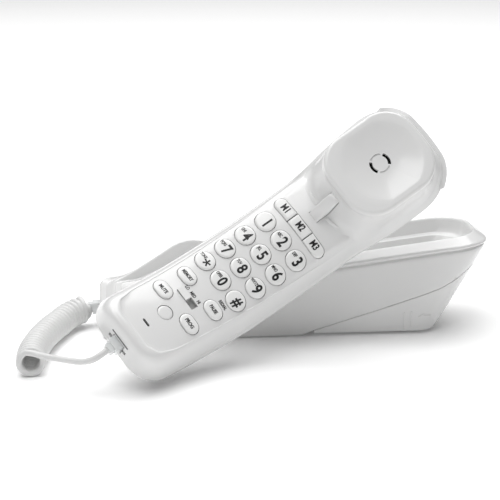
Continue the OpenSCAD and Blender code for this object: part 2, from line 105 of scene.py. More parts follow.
handsetPose = {"at": (-11.8, -67.0, 52.8), "turn": (34.2, 44.9, -37.0)}   # leans on its mouth end
handsetFrame = (Matrix.Translation(Vector(handsetPose["at"]) * mm)
                @ Euler([math.radians(a) for a in handsetPose["turn"]], "XYZ").to_matrix().to_4x4())


def onHandset(p):
    return handsetFrame @ (Vector(p) * mm)


def onDesk(p):
    return Vector(p) * mm


def makeMesh(name, points, faces, place):
    mesh = bpy.data.meshes.new(name)
    mesh.from_pydata([place(p) for p in points], [], faces)
    mesh.validate()
    obj = bpy.data.objects.new(name, mesh)
    bpy.context.scene.collection.objects.link(obj)
    return obj


def loft(rings, capFirst=False, capLast=False):
    # rings of equal count, each closed on itself
    n = len(rings[0])
    points = [p for ring in rings for p in ring]
    faces = []
    for r in range(len(rings) - 1):
        for k in range(n):
            a, b = r * n + k, r * n + (k + 1) % n
            faces.append((a, b, b + n, a + n))
    if capFirst:
        faces.append(tuple(range(n - 1, -1, -1)))
    if capLast:
        faces.append(tuple((len(rings) - 1) * n + k for k in range(n)))
    return points, faces


def rounded(obj, angle=38):
    # smooth shading, with an edge where faces meet above the angle
    obj.data.shade_smooth()
    obj.data.set_sharp_from_angle(angle=math.radians(angle))
    return obj


def tidy(obj, angle=40, merge=0.004):
    # welds doubled points and turns the faces outwards
    bm = bmesh.new()
    bm.from_mesh(obj.data)
    bmesh.ops.remove_doubles(bm, verts=bm.verts, dist=merge * mm)
    bmesh.ops.recalc_face_normals(bm, faces=bm.faces)
    bm.to_mesh(obj.data)
    bm.free()
    return rounded(obj, angle)


def bake(obj):
    # puts the result of the modifiers into the mesh
    bpy.context.view_layer.update()
    graph = bpy.context.evaluated_depsgraph_get()
    mesh = bpy.data.meshes.new_from_object(obj.evaluated_get(graph))
    obj.modifiers.clear()
    obj.data = mesh
    return obj


def thicken(obj, wall):
    m = obj.modifiers.new("wall", "SOLIDIFY")
    m.thickness = wall * mm
    m.offset = -1
    m.use_even_offset = False
    return bake(obj)


def cutAway(obj, cutter):
    m = obj.modifiers.new("cut", "BOOLEAN")
    m.operation = "DIFFERENCE"
    m.solver = "EXACT"
    m.object = cutter
    return bake(obj)


def joined(name, objects):
    bm = bmesh.new()
    for o in objects:
        bm.from_mesh(o.data)
    mesh = bpy.data.meshes.new(name)
    bm.to_mesh(mesh)
    bm.free()
    for o in objects:
        bpy.data.objects.remove(o)
    obj = bpy.data.objects.new(name, mesh)
    bpy.context.scene.collection.objects.link(obj)
    return obj


def dressed(obj, material, body):
    obj.data.materials.clear()
    obj.data.materials.append(material)
    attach(obj, body)
    return obj


def addNode(tree, kind, links=None, **settings):
    node = tree.nodes.new(kind)
    for key, value in settings.items():
        if hasattr(node, key):
            setattr(node, key, value)
        else:
            node.inputs[key.replace("_", " ")].default_value = value
    for socket, source in (links or {}).items():
        tree.links.new(source, node.inputs[socket])
    return node


def newMaterial(name):
    material = bpy.data.materials.new(name)
    material.use_nodes = True
    tree = material.node_tree
    shader = tree.nodes["Principled BSDF"]
    place = addNode(tree, "ShaderNodeTexCoord")
    return material, tree, shader, place.outputs["Object"]


def mouldedPlastic(name, look):
    # injection moulded: faint flow in the colour, a spark-eroded grain in the bump, gloss that varies a little
    material, tree, shader, where = newMaterial(name)
    flow = addNode(tree, "ShaderNodeTexNoise", {"Vector": where}, Scale=1000 / look["flowMm"], Detail=2.0)
    low, high = linearFromHex(look["colours"][0]), linearFromHex(look["colours"][1])
    tint = addNode(tree, "ShaderNodeMix", {"Factor": flow.outputs["Fac"]}, data_type="RGBA")
    tint.inputs["A"].default_value = low
    tint.inputs["B"].default_value = high
    tree.links.new(tint.outputs[2], shader.inputs["Base Color"])
    grain = addNode(tree, "ShaderNodeTexNoise", {"Vector": where}, Scale=1000 / look["grainMm"], Detail=3.0)
    bump = addNode(tree, "ShaderNodeBump", {"Height": grain.outputs["Fac"]}, Strength=look["bump"], Distance=0.00003)
    tree.links.new(bump.outputs["Normal"], shader.inputs["Normal"])
    wear = addNode(tree, "ShaderNodeMapRange", {"Value": flow.outputs["Fac"]})
    wear.inputs["To Min"].default_value = look["roughness"][0]
    wear.inputs["To Max"].default_value = look["roughness"][1]
    tree.links.new(wear.outputs["Result"], shader.inputs["Roughness"])
    shader.inputs["IOR"].default_value = look["ior"]
    shader.inputs["Coat Weight"].default_value = look.get("coat", 0)
    shader.inputs["Coat Roughness"].default_value = 0.08
    shader.inputs["Subsurface Weight"].default_value = look.get("milk", 0)
    shader.inputs["Subsurface Radius"].default_value = (0.004, 0.004, 0.004)
    shader.inputs["Subsurface Scale"].default_value = 0.4
    return material


# high-gloss ABS: white with a sharp polish from the mould
glossAbs = mouldedPlastic("highGlossMouldedAbs", {"colours": ("E0E0E0", "E5E5E4"), "flowMm": 40, "grainMm": 0.6,
    "bump": 0.05, "roughness": (0.16, 0.24), "ior": 1.53, "coat": 0.25})
# key caps: the same ABS from a finer tool, a little whiter
keyAbs = mouldedPlastic("polishedKeyAbs", {"colours": ("E9E9E8", "EEEEED"), "flowMm": 12, "grainMm": 0.4,
    "bump": 0.04, "roughness": (0.2, 0.28), "ior": 1.53, "coat": 0.15})
# lower cover: plain ABS with a spark-eroded face, no polish
sparkAbs = mouldedPlastic("sparkErodedAbs", {"colours": ("D2D2D0", "DADAD8"), "flowMm": 25, "grainMm": 0.5,
    "bump": 0.5, "roughness": (0.5, 0.62), "ior": 1.53})
# jack bodies and switches: glass-filled PBT, grey and dull
pbt = mouldedPlastic("glassFilledPbt", {"colours": ("5A5B5C", "66676A"), "flowMm": 8, "grainMm": 0.4,
    "bump": 0.4, "roughness": (0.45, 0.6), "ior": 1.57})
# modular plugs: clear polycarbonate that looks milky where it is thick
plugPc = mouldedPlastic("milkyPolycarbonate", {"colours": ("DCDEDE", "E6E8E8"), "flowMm": 6, "grainMm": 0.5,
    "bump": 0.1, "roughness": (0.14, 0.22), "ior": 1.58, "milk": 0.3})
# cord jacket: extruded soft PVC with a satin skin
softPvc = mouldedPlastic("extrudedSoftPvc", {"colours": ("D6D6D6", "DEDEDD"), "flowMm": 5, "grainMm": 0.5,
    "bump": 0.3, "roughness": (0.34, 0.46), "ior": 1.52})
# pad-printed ink: flat black with ragged gloss
padInk = mouldedPlastic("padPrintedInk", {"colours": ("101011", "1C1C1D"), "flowMm": 3, "grainMm": 0.3,
    "bump": 0.3, "roughness": (0.4, 0.55), "ior": 1.5})
# silicone and rubber parts
nitrile = mouldedPlastic("mouldedNitrileRubber", {"colours": ("3A3B3C", "474849"), "flowMm": 6, "grainMm": 0.4,
    "bump": 0.7, "roughness": (0.62, 0.78), "ior": 1.52})
# painted shade: flat black sheets that stand in for the dark inside the ports and the microphone's slot, no shine at
# all
portShadeBlack = mouldedPlastic("paintedPortShade", {"colours": ("050505", "0C0C0C"), "flowMm": 2, "grainMm": 0.2,
    "bump": 1.0, "roughness": (0.92, 1.0), "ior": 1.3})
# circuit board: solder mask over glass cloth
solderMask = mouldedPlastic("solderMaskedFr4", {"colours": ("1D4A30", "28603E"), "flowMm": 2, "grainMm": 0.5,
    "bump": 0.4, "roughness": (0.3, 0.45), "ior": 1.5})


def rolledMetal(name, look):
    # rolled and plated metal: drawn marks one way and a broken gloss
    material, tree, shader, where = newMaterial(name)
    stretch = addNode(tree, "ShaderNodeMapping", {"Vector": where})
    stretch.inputs["Scale"].default_value = (1, 12, 12)
    marks = addNode(tree, "ShaderNodeTexNoise", {"Vector": stretch.outputs["Vector"]},
                    Scale=1000 / look["markMm"], Detail=4.0)
    tint = addNode(tree, "ShaderNodeMix", {"Factor": marks.outputs["Fac"]}, data_type="RGBA")
    tint.inputs["A"].default_value = linearFromHex(look["colours"][0])
    tint.inputs["B"].default_value = linearFromHex(look["colours"][1])
    tree.links.new(tint.outputs[2], shader.inputs["Base Color"])
    rough = addNode(tree, "ShaderNodeMapRange", {"Value": marks.outputs["Fac"]})
    rough.inputs["To Min"].default_value = look["roughness"][0]
    rough.inputs["To Max"].default_value = look["roughness"][1]
    tree.links.new(rough.outputs["Result"], shader.inputs["Roughness"])
    shader.inputs["Metallic"].default_value = 1
    return material


zincSteel = rolledMetal("zincPlatedSteel", {"colours": ("9FA1A3", "C4C6C8"), "markMm": 6, "roughness": (0.28, 0.42)})
blackSteel = rolledMetal("blackenedSteel", {"colours": ("303134", "45464A"), "markMm": 9, "roughness": (0.45, 0.6)})
springBrass = rolledMetal("rolledBrass", {"colours": ("B08A3C", "C9A658"), "markMm": 5, "roughness": (0.25, 0.4)})
print("materials made")

camera = bpy.data.objects.new("camera", bpy.data.cameras.new("camera"))
bpy.context.scene.collection.objects.link(camera)
shot = {"azimuth": -5.0, "elevation": 14.5, "distance": 0.9, "target": (-0.0062, 0, 0.0413), "lens": 116.6}
azimuth, elevation = math.radians(shot["azimuth"]), math.radians(shot["elevation"])
towardCamera = Vector((math.sin(azimuth) * math.cos(elevation), -math.cos(azimuth) * math.cos(elevation),
                       math.sin(elevation)))
camera.location = Vector(shot["target"]) + towardCamera * shot["distance"]
camera.rotation_mode = "QUATERNION"
camera.rotation_quaternion = (-towardCamera).to_track_quat("-Z", "Y")
camera.data.sensor_width = 36
camera.data.lens = shot["lens"]
camera.data.clip_start, camera.data.clip_end = 0.01, 50
bpy.context.scene.camera = camera

cord = {"wire": 3.3, "curl": 15.4, "turns": 25, "aTurn": 20, "sides": 10,
    # the middle of the coil, then the tail, in millimetres
    "coil": [(-96, 0, 10.6), (-98.5, -0.9, 10.1), (-103.5, -4, 9), (-108.5, -11, 8.2), (-112, -20, 7.8),
             (-115.7, -30, 7.8), (-119.5, -43, 7.8), (-122, -55, 7.8), (-124, -68, 7.8), (-124.6, -78, 7.8),
             (-124.4, -87, 7.8)],
    "tail": [(-122, -89.4, 13.2), (-120, -91.6, 13.2), (-115, -95.6, 13.3), (-109, -100.8, 13.8),
             (-103.5, -106.6, 14.6), (-98.5, -112, 15.8), (-94, -115.6, 17.6), (-90.6, -116.8, 19.6)],
    "entry": [(0, -94, 11), (0, -92.5, 11), (0, -87.5, 11)]}


def resample(points, step):
    # even steps along a smooth curve through the points
    points = [Vector(p) for p in points]
    fine = []
    for i in range(len(points) - 1):
        p0, p1, p2, p3 = points[max(i - 1, 0)], points[i], points[i + 1], points[min(i + 2, len(points) - 1)]
        for k in range(24):
            t = k / 24
            fine.append(0.5 * (2 * p1 + (p2 - p0) * t + (2 * p0 - 5 * p1 + 4 * p2 - p3) * t * t
                               + (3 * p1 - p0 - 3 * p2 + p3) * t**3))
    fine.append(points[-1])
    out, left = [fine[0]], step
    for a, b in zip(fine, fine[1:]):
        gap = (b - a).length
        while gap >= left > 0:
            a = a + (b - a) * (left / gap)
            out.append(a)
            gap = (b - a).length
            left = step
        left -= gap
    if (out[-1] - fine[-1]).length > step * 0.4:
        out.append(fine[-1])
    return out


def tube(name, path, radius, sides):
    # rings carried along the path without twist
    path = [Vector(p) for p in path]
    up = Vector((0, 0, 1))
    rings = []
    for i, p in enumerate(path):
        t = (path[min(i + 1, len(path) - 1)] - path[max(i - 1, 0)]).normalized()
        up = (up - t * up.dot(t)).normalized()
        side = t.cross(up)
        rings.append([p + radius * (math.cos(a) * side + math.sin(a) * up)
                      for a in (2 * math.pi * k / sides for k in range(sides))])
    points, faces = loft(rings, True, True)
    return tidy(makeMesh(name, points, faces, onDesk), 50)


def coilRoute():
    line = resample(cord["coil"], 1.0)
    total = len(line) - 1
    count = cord["turns"] * cord["aTurn"]
    reach = (cord["curl"] - cord["wire"]) / 2
    out = []
    for i in range(count + 1):
        s = total * i / count
        k = min(int(s), total - 1)
        p = line[k].lerp(line[k + 1], s - k)
        t = (line[min(k + 2, total)] - line[max(k - 1, 0)]).normalized()
        side = t.cross(Vector((0, 0, 1))).normalized()
        up = side.cross(t).normalized()
        ease = min(1, i / (cord["aTurn"] * 0.7))       # the first curl opens out from the plug
        a = 2 * math.pi * i / cord["aTurn"] + math.pi / 2 + math.radians(-24)
        out.append(p + reach * ease * (math.cos(a) * side + math.sin(a) * up))
    return out


curls = coilRoute()
lastTail = [Vector(p) for p in cord["tail"]] + [Vector(onHandset(p)) / mm for p in cord["entry"]]
leadIn = [Vector((-92.5, 0, 10.6)), Vector((-94, 0, 10.6)), Vector((-95.3, 0, 10.8))]
tailRoute = resample([curls[-2], curls[-1]] + lastTail, 2.5)[1:]
cordRoute = leadIn + curls + tailRoute[1:]
cordPiece = tube("handsetCord", cordRoute, cord["wire"] / 2, cord["sides"])
cordPiece.data.materials.append(softPvc)
cordLength = sum((b - a).length for a, b in zip(cordRoute, cordRoute[1:])) * mm
tuple(onHandset((0, -92.5, 11)))
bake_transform(cordPiece)
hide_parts("cord_lead", "cord_coil", "cord_tail")
print("cord laid, %.0f mm" % (cordLength * 1000))

# the handset's own millimetres: x across, y from the mouth to the ear, z out of the face
handset = {
    "mouth": -88, "ear": 114.2, "mouthCorner": 15, "earCorner": 20, "lip": 0.75,
    "wall": 2.0, "backWall": 1.0, "gap": 0.22, "crownDrop": 0.87, "crownAt": 12.7,
    "halfWidth": [(-88, 24.8), (-73, 24.8), (-40, 25.1), (-15, 25.4), (20, 25.5), (40, 25.6), (52, 26.1), (62, 27.3),
                  (72, 28.8), (82, 29.8), (95, 30)],
    # the back shell swells a little below the seam along the grip
    "swell": [(-88, 0.4), (-60, 1.0), (-20, 1.7), (40, 1.7), (62, 0.8), (80, 0), (120, 0)],
    # height of the face along the middle: hollow grip, valley, then the head's shoulders
    "face": [(-100, 31.5), (-91.5, 26.8), (-80, 20.5), (-60, 11.5), (-40, 5.1), (-20, 1.3), (0, 0), (20, 1.3),
             (36, 4.15), (44, 6.2), (49, 6.9), (53, 6.6), (58, 7.4), (66, 9.6), (80, 13.4), (95, 19),
             (106, 24), (114.2, 27)],
    "panelHalf": [(-69, 18.6), (-40, 19.6), (0, 20.9), (36, 22.0), (60, 22.6), (100, 24)],
    # how far the front drops from the face to the seam, against the inset from the outline
    "roll": [(0, 1), (0.5, 0.86), (1.2, 0.67), (2, 0.48), (3, 0.29), (4, 0.165), (5, 0.085), (6.5, 0.025), (8, 0),
             (60, 0)],
    # how far the back drops from the seam to its flat, against the inset
    "belly": [(0, 0), (0.2, 0.16), (0.7, 0.36), (1.6, 0.56), (3, 0.74), (5, 0.87), (8, 0.95), (12, 0.985), (18, 1),
              (60, 1)]}


def crown(x):
    # how far the face falls away from its middle line
    return handset["crownDrop"] * (x / handset["crownAt"]) ** 2


def faceHeight(y):
    return along(handset["face"], y)


def seamHeight(y):
    return -16 + 0.0027 * y * y


def bellyHeight(y):
    return -29.6 + 0.0031 * y * y + max(0, -62 - y) ** 2 * 0.009


def handsetOutline():
    # right half from the mouth to the ear, then the mirrored half back
    r, c = handset["mouthCorner"], handset["earCorner"]
    side = handset["halfWidth"][0][1]
    right = [(x, handset["mouth"]) for x in (0, 4, 8)]
    right += [(side - r + r * math.sin(a), handset["mouth"] + r - r * math.cos(a))
              for a in (math.radians(d) for d in range(0, 91, 10))]
    y = handset["mouth"] + r
    top = handset["ear"] - c
    right += [(along(handset["halfWidth"], y + (top - y) * i / 44), y + (top - y) * i / 44) for i in range(1, 44)]
    right += [(30 - c + c * math.cos(a), top + c * math.sin(a)) for a in (math.radians(d) for d in range(0, 91, 9))]
    right += [(6, handset["ear"] + 0.2), (3, handset["ear"] + 0.3), (0, handset["ear"] + 0.35)]
    return right + [(-x, y) for x, y in reversed(right[1:-1])]


outline = handsetOutline()
around = len(outline)
normals = []
for i in range(around):
    (ax, ay), (bx, by) = outline[i - 1], outline[(i + 1) % around]
    normals.append(Vector((by - ay, ax - bx)).normalized())


def panelInset(i):
    # distance from the outline in to the keypad panel's edge
    x, y = outline[i]
    if y > -73.1:
        return max(3.4, abs(x) - straight(handset["panelHalf"], y)) + max(0, (-65 - y) / 8.1) * 1.6
    corner = math.degrees(math.atan2(max(0, abs(x) - 9.8), -73 - y))
    return straight([(0, 9.6), (45, 10.4), (70, 9.4), (90, 7.8)], corner)


def insetPoint(i, d):
    x, y = outline[i]
    return x - normals[i].x * d, y - normals[i].y * d


def frontHeight(x, y, d, lip):
    top = faceHeight(y) - crown(x) + lip
    return top - (top - seamHeight(y)) * along(handset["roll"], d)


def medial(i):
    # where the rings close, on the middle line
    return 0, min(max(outline[i][1], handset["mouth"] + 24), handset["ear"] - 27)


def handsetFront():
    rings = [[(*insetPoint(i, handset["gap"]), seamHeight(outline[i][1]) + 0.1) for i in range(around)],
             [(*insetPoint(i, 0.04), seamHeight(outline[i][1]) + 0.35) for i in range(around)]]
    for f in (0.04, 0.1, 0.18, 0.27, 0.37, 0.48, 0.6, 0.72, 0.85, 0.97):
        ring = []
        for i in range(around):
            d = f * panelInset(i)
            x, y = insetPoint(i, d)
            fade = 1 - straight([(44, 0), (52, 1)], y)
            ring.append((x, y, frontHeight(x, y, d, handset["lip"] * fade)))
        rings.append(ring)
    for more, part in ((0.25, 0.8), (0.55, 0.2), (0.9, 0)):
        ring = []
        for i in range(around):
            d = panelInset(i) + more
            x, y = insetPoint(i, d)
            fade = 1 - straight([(44, 0), (52, 1)], y)
            ring.append((x, y, frontHeight(x, y, d, handset["lip"] * part * fade)))
        rings.append(ring)
    for f in (0.12, 0.28, 0.46, 0.64, 0.82, 1.0):
        ring = []
        for i in range(around):
            x0, y0 = insetPoint(i, panelInset(i) + 0.9)
            x1, y1 = medial(i)
            x, y = x0 + (x1 - x0) * f, y0 + (y1 - y0) * f
            ring.append((x, y, frontHeight(x, y, 99, 0)))
        rings.append(ring)
    points, faces = loft(rings)
    return thicken(tidy(makeMesh("handsetFront", points, faces, onHandset)), handset["wall"])


def handsetBack():
    rings = [[(*insetPoint(i, handset["gap"]), seamHeight(outline[i][1]) - 0.1) for i in range(around)],
             [(*insetPoint(i, 0.04), seamHeight(outline[i][1]) - 0.35) for i in range(around)]]
    for d in (0.12, 0.3, 0.6, 1.1, 1.8, 2.7, 3.8, 5.2, 7, 9, 11.5):
        ring = []
        for i in range(around):
            fullness = math.sin(math.pi * min(1, (d / 3.4) ** 0.5) * 0.75)
            bulge = straight(handset["swell"], outline[i][1]) * fullness * abs(normals[i].x)
            x, y = insetPoint(i, d - bulge)
            seam = seamHeight(outline[i][1])
            ring.append((x, y, seam - (seamHeight(y) - bellyHeight(y)) * along(handset["belly"], d)
                         - (seam - seamHeight(y)) * min(1, d / 4)))
        rings.append(ring)
    for f in (0.3, 0.6, 1.0):
        ring = []
        for i in range(around):
            x0, y0 = insetPoint(i, 11.5)
            x1, y1 = medial(i)
            x, y = x0 + (x1 - x0) * f, y0 + (y1 - y0) * f
            deep = along(handset["belly"], 11.5 + f * 10)
            ring.append((x, y, seamHeight(y) - (seamHeight(y) - bellyHeight(y)) * deep))
        rings.append(ring)
    points, faces = loft(rings)
    return thicken(tidy(makeMesh("handsetBack", points, faces, onHandset)), handset["backWall"])


def insideOutline(x, y):
    # distance from a point in to the outline
    best = 1e9
    for i in range(around):
        (ax, ay), (bx, by) = outline[i], outline[(i + 1) % around]
        t = ((x - ax) * (bx - ax) + (y - ay) * (by - ay)) / ((bx - ax) ** 2 + (by - ay) ** 2)
        t = min(1, max(0, t))
        best = min(best, math.hypot(x - ax - t * (bx - ax), y - ay - t * (by - ay)))
    return best


cup = {"centre": (0, 78.5, 30), "tilt": 11, "halfWidth": 24, "halfLength": 27, "corner": 17, "dish": 21.2,
       "dishShift": 1.5,
       # (outset, height over the shell) of the fillet at the foot of the cup
       "foot": [(6.5, -0.25), (5.2, 0.06), (3.9, 0.5), (2.8, 1.2), (2.0, 2.2), (1.5, 3.6), (1.2, 5.4)],
       # (inset, height) of the lip
       "lip": [(0.1, -5), (0.0, -3.2), (0.12, -2.0), (0.4, -1.05), (0.85, -0.4), (1.4, -0.1), (1.9, 0)],
       # (share of the dish's radius, height) of the bowl
       "bowl": [(1.0, -0.06), (0.97, -0.17), (0.93, -0.36), (0.87, -0.68), (0.78, -1.15), (0.65, -1.7), (0.5, -2.2),
                (0.33, -2.6), (0.16, -2.8), (0.001, -2.84)]}
tiltMatrix = Matrix.Rotation(math.radians(cup["tilt"]), 3, "X")


def cupPlan(outset, count=96):
    a, b, r = cup["halfWidth"] + outset, cup["halfLength"] + outset, cup["corner"] + outset
    out = []
    for q in range(4):
        s, u = (1, -1, -1, 1)[q], (1, 1, -1, -1)[q]
        for k in range(count // 4):
            w = math.radians(q * 90 + 90 * k / (count // 4 - 1))
            out.append((s * (a - r) + r * math.cos(w), u * (b - r) + r * math.sin(w)))
    return out


def onCup(x, y, h):
    p = tiltMatrix @ Vector((x, y, h))
    return (p.x + cup["centre"][0], p.y + cup["centre"][1], p.z + cup["centre"][2])


def earCup():
    rings = []
    # the foot draws in where the cup comes near the handset's edge
    room = [min(1, max(0.1, (insideOutline(x, cup["centre"][1] + y) - 1.4) / cup["foot"][0][0]))
            for x, y in cupPlan(0)]
    for outset, rise in cup["foot"]:
        ring = []
        for (x0, y0), (x1, y1), share in zip(cupPlan(0), cupPlan(outset), room):
            px, py = x0 + (x1 - x0) * share, cup["centre"][1] + y0 + (y1 - y0) * share
            d = insideOutline(px, py)
            ring.append((px, py, frontHeight(px, py, d, 0) + rise))
        rings.append(ring)
    wall = rings[-1]
    for part in (0.3, 0.6, 0.85):
        rings.append([tuple(Vector(a).lerp(Vector(onCup(*b, -5)), part)) for a, b in zip(wall, cupPlan(0))])
    n = len(wall)
    for turn in range(6):
        # evens out the wall between the sunk foot and the lip
        even = [[tuple((Vector(rings[r - 1][k]) + Vector(rings[r + 1][k]) + Vector(rings[r][k - 1])
                        + Vector(rings[r][(k + 1) % n]) + 4 * Vector(rings[r][k])) / 8) for k in range(n)]
                for r in range(1, len(rings) - 1)]
        rings = [rings[0]] + even + [rings[-1]]
    for inset, h in cup["lip"]:
        rings.append([onCup(*p, h) for p in cupPlan(-inset)])
    circle = [(cup["dish"] * math.cos(math.atan2(y, x)), cup["dish"] * math.sin(math.atan2(y, x)) + cup["dishShift"])
              for x, y in cupPlan(0)]
    last = cupPlan(-1.9)
    rings.append([onCup(*p, 0.0) for p in cupPlan(-2.2)])
    rings.append([onCup((a[0] + b[0]) / 2, (a[1] + b[1]) / 2, 0.0) for a, b in zip(last, circle)])
    rings.append([onCup(x * 1.012, (y - cup["dishShift"]) * 1.012 + cup["dishShift"], 0.0) for x, y in circle])
    for share, h in cup["bowl"]:
        rings.append([onCup(x * share, (y - cup["dishShift"]) * share + cup["dishShift"], h) for x, y in circle])
    points, faces = loft(rings)
    return thicken(tidy(makeMesh("earCup", points, faces, onHandset), 50), 1.6)


keys = {"pitchX": 13.0, "pitchY": 13.3, "length": 11.2, "width": 10.4, "gap": 0.32, "rise": 1.25,
        "fnLength": 11.4, "fnWidth": 8.2, "fnX": 11, "fnLow": -49.7, "fnHigh": -33.6,
        "mY": 32.2, "mLength": 38.2, "mWidth": 6.8, "mGap": 0.5}
volume = {"x": -1, "y": -41.5, "length": 13, "width": 4.2, "travel": 5.5}
blanking = {"y": -57.1, "radius": 4.1}
microphone = {"y": -69.8, "length": 4.9, "width": 1.35}


def pill(length, width, steps=10):
    # half-round ends, length across the handset
    out = []
    for s in (1, -1):
        for k in range(steps + 1):
            a = -math.pi / 2 + math.pi * k / steps
            out.append((s * ((length - width) / 2 + math.cos(a) * width / 2), s * math.sin(a) * width / 2))
    return out


def prism(plan, x, y, low, high, place=onHandset):
    rings = [[(x + px, y + py, z) for px, py in plan] for z in (low, high)]
    points, faces = loft(rings, True, True)
    return tidy(makeMesh("cutter", points, faces, place))


def circlePlan(radius):
    return [(radius * math.cos(a), radius * math.sin(a)) for a in (math.pi * k / 20 for k in range(40))]


def boxPlan(w, h):
    return [(w / 2, -h / 2), (w / 2, h / 2), (-w / 2, h / 2), (-w / 2, -h / 2)]


def arcPlan(radius, width, start, sweep, steps=12):
    angles = [math.radians(start + sweep * k / steps) for k in range(steps + 1)]
    outer = [((radius + width / 2) * math.cos(a), (radius + width / 2) * math.sin(a)) for a in angles]
    inner = [((radius - width / 2) * math.cos(a), (radius - width / 2) * math.sin(a)) for a in reversed(angles)]
    return outer + inner


def keyPlaces():
    names = ["key_%s" % n for n in (1, 2, 3, 4, 5, 6, 7, 8, 9, "star", 0, "pound")]
    return {n: ((i % 3 - 1) * keys["pitchX"], (1.5 - i // 3) * keys["pitchY"]) for i, n in enumerate(names)}


def faceCutters():
    g = 2 * keys["gap"]
    cutters = [prism(pill(keys["length"] + g, keys["width"] + g), x, y, faceHeight(y) - 9, faceHeight(y) + 6)
               for x, y in keyPlaces().values()]
    cutters.append(prism(pill(keys["mLength"] + g, keys["mWidth"] + g), 0, keys["mY"], -8, 12))
    for x in (-keys["fnX"], keys["fnX"]):
        for y in (keys["fnLow"], keys["fnHigh"]):
            cutters.append(prism(pill(keys["fnLength"] + g, keys["fnWidth"] + g), x, y,
                                 faceHeight(y) - 9, faceHeight(y) + 6))
    cutters.append(prism(boxPlan(volume["length"], volume["width"]), volume["x"], volume["y"], -3, 12))
    cutters.append(prism(circlePlan(blanking["radius"] + 0.15), 0, blanking["y"], 3, 16))
    cutters.append(prism(pill(microphone["length"], microphone["width"], 6), 0, microphone["y"], 6, 22))
    return cutters


front = handsetFront()
back = handsetBack()
earPiece = earCup()
cutAway(front, joined("faceCutter", faceCutters()))
leverHole = {"width": 6.9, "length": 13.5, "y": 47.2, "low": -4, "high": 17.0}
leverSlot = prism(boxPlan(leverHole["width"], leverHole["length"]), 0, leverHole["y"],
                  leverHole["low"], leverHole["high"])
cutAway(front, leverSlot)
cutAway(earPiece, leverSlot)
# the head under the cup is open, so that the dish and the ports have depth behind them
cutAway(front, prism([(x * 0.78, y * 0.8) for x, y in cupPlan(0, 48)], 0, cup["centre"][1] + 2, 0, 60))
# the cord's opening as (width, low, high): a socket the size of the plug, then a slit to either side
cordHole = {"deep": 9, "steps": ((8.6, 7.4, 14.6), (13.4, 9.9, 12.1))}
for width, low, high in cordHole["steps"]:
    cutAway(front, prism(boxPlan(width, cordHole["deep"]), 0, handset["mouth"], low, high))


def portPlace(p):
    # the ear ports' own place: the middle of the dish
    return onHandset(onCup(p[0], p[1] + 0.5, p[2]))


# four arcs on one circle, as (start, depth, width): two open ports and two shallow grooves between them
earPorts = {"radius": 4.9, "sweep": 78,
            "arcs": ((49, -9, 1.7), (229, -9, 1.7), (142, -3.3, 0.8), (322, -3.3, 0.8))}
for start, depth, width in earPorts["arcs"]:
    cutAway(earPiece, prism(arcPlan(earPorts["radius"], width, start, earPorts["sweep"]), 0, 0, depth, 3, portPlace))


def paintedShadeDisc(name, place, middle, radius, z):
    # black sheets behind the ports and the microphone's slot: painted shade for the dark inside the openings
    angles = [math.pi * k / 16 for k in range(32)]
    rings = [[(middle[0] + r * math.cos(a), middle[1] + r * math.sin(a), h) for a in angles]
             for r, h in ((0.001, z - 0.8), (radius, z - 0.8), (radius, z), (0.001, z))]
    points, faces = loft(rings)
    return dressed(tidy(makeMesh(name, points, faces, place)), portShadeBlack, "handset")


for o in [o for o in bpy.data.objects if o.name.startswith(("cutter", "faceCutter"))]:
    bpy.data.objects.remove(o)
for piece in (front, back, earPiece):
    rounded(piece)
# black discs of painted shade behind the ear ports and the microphone's slot
paintedShadeDisc("earFelt", portPlace, (0, 0), 7.5, -4.6)
paintedShadeDisc("micFelt", onHandset, (0, microphone["y"]), 3.4, faceHeight(microphone["y"]) - 2.6)
dressed(front, glossAbs, "handset")
dressed(earPiece, glossAbs, "handset")
dressed(back, glossAbs, "handset")
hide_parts("handset_front")
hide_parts("handset_back")
print("handset shells made")


def capTop(cx, cy, rise):
    # the top of a key: level with the face around it, a little domed
    z0 = faceHeight(cy) - crown(cx) + rise
    slopeX, slopeY = -2 * handset["crownDrop"] * cx / handset["crownAt"]**2, 0.0064 * cy
    return lambda x, y: z0 + slopeX * (x - cx) + slopeY * (y - cy) - 0.011 * ((x - cx) ** 2 + (y - cy) ** 2)


def keyCap(name, plan, x, y, top):
    # (inset, drop) from the skirt up over the rounded shoulder to the crowned top
    profile = [(0, 5.5), (0, 1.2), (0.04, 0.75), (0.16, 0.42), (0.38, 0.18), (0.75, 0.05), (1.3, 0.0)]
    longest = max(abs(px) for px, py in plan)
    widest = max(abs(py) for px, py in plan)
    rings = []
    for inset, drop in profile:
        ring = []
        for px, py in plan:
            qx, qy = px * (1 - inset / longest), py * (1 - inset / widest)
            ring.append((x + qx, y + qy, top(x + qx, y + qy) - drop))
        rings.append(ring)
    for share in (0.66, 0.33, 0.001):
        rings.append([(x + px * share, y + py * share, top(x + px * share, y + py * share)) for px, py in plan])
    points, faces = loft(rings, True)
    cap = tidy(makeMesh(name, points, faces, onHandset), 60)
    return cap


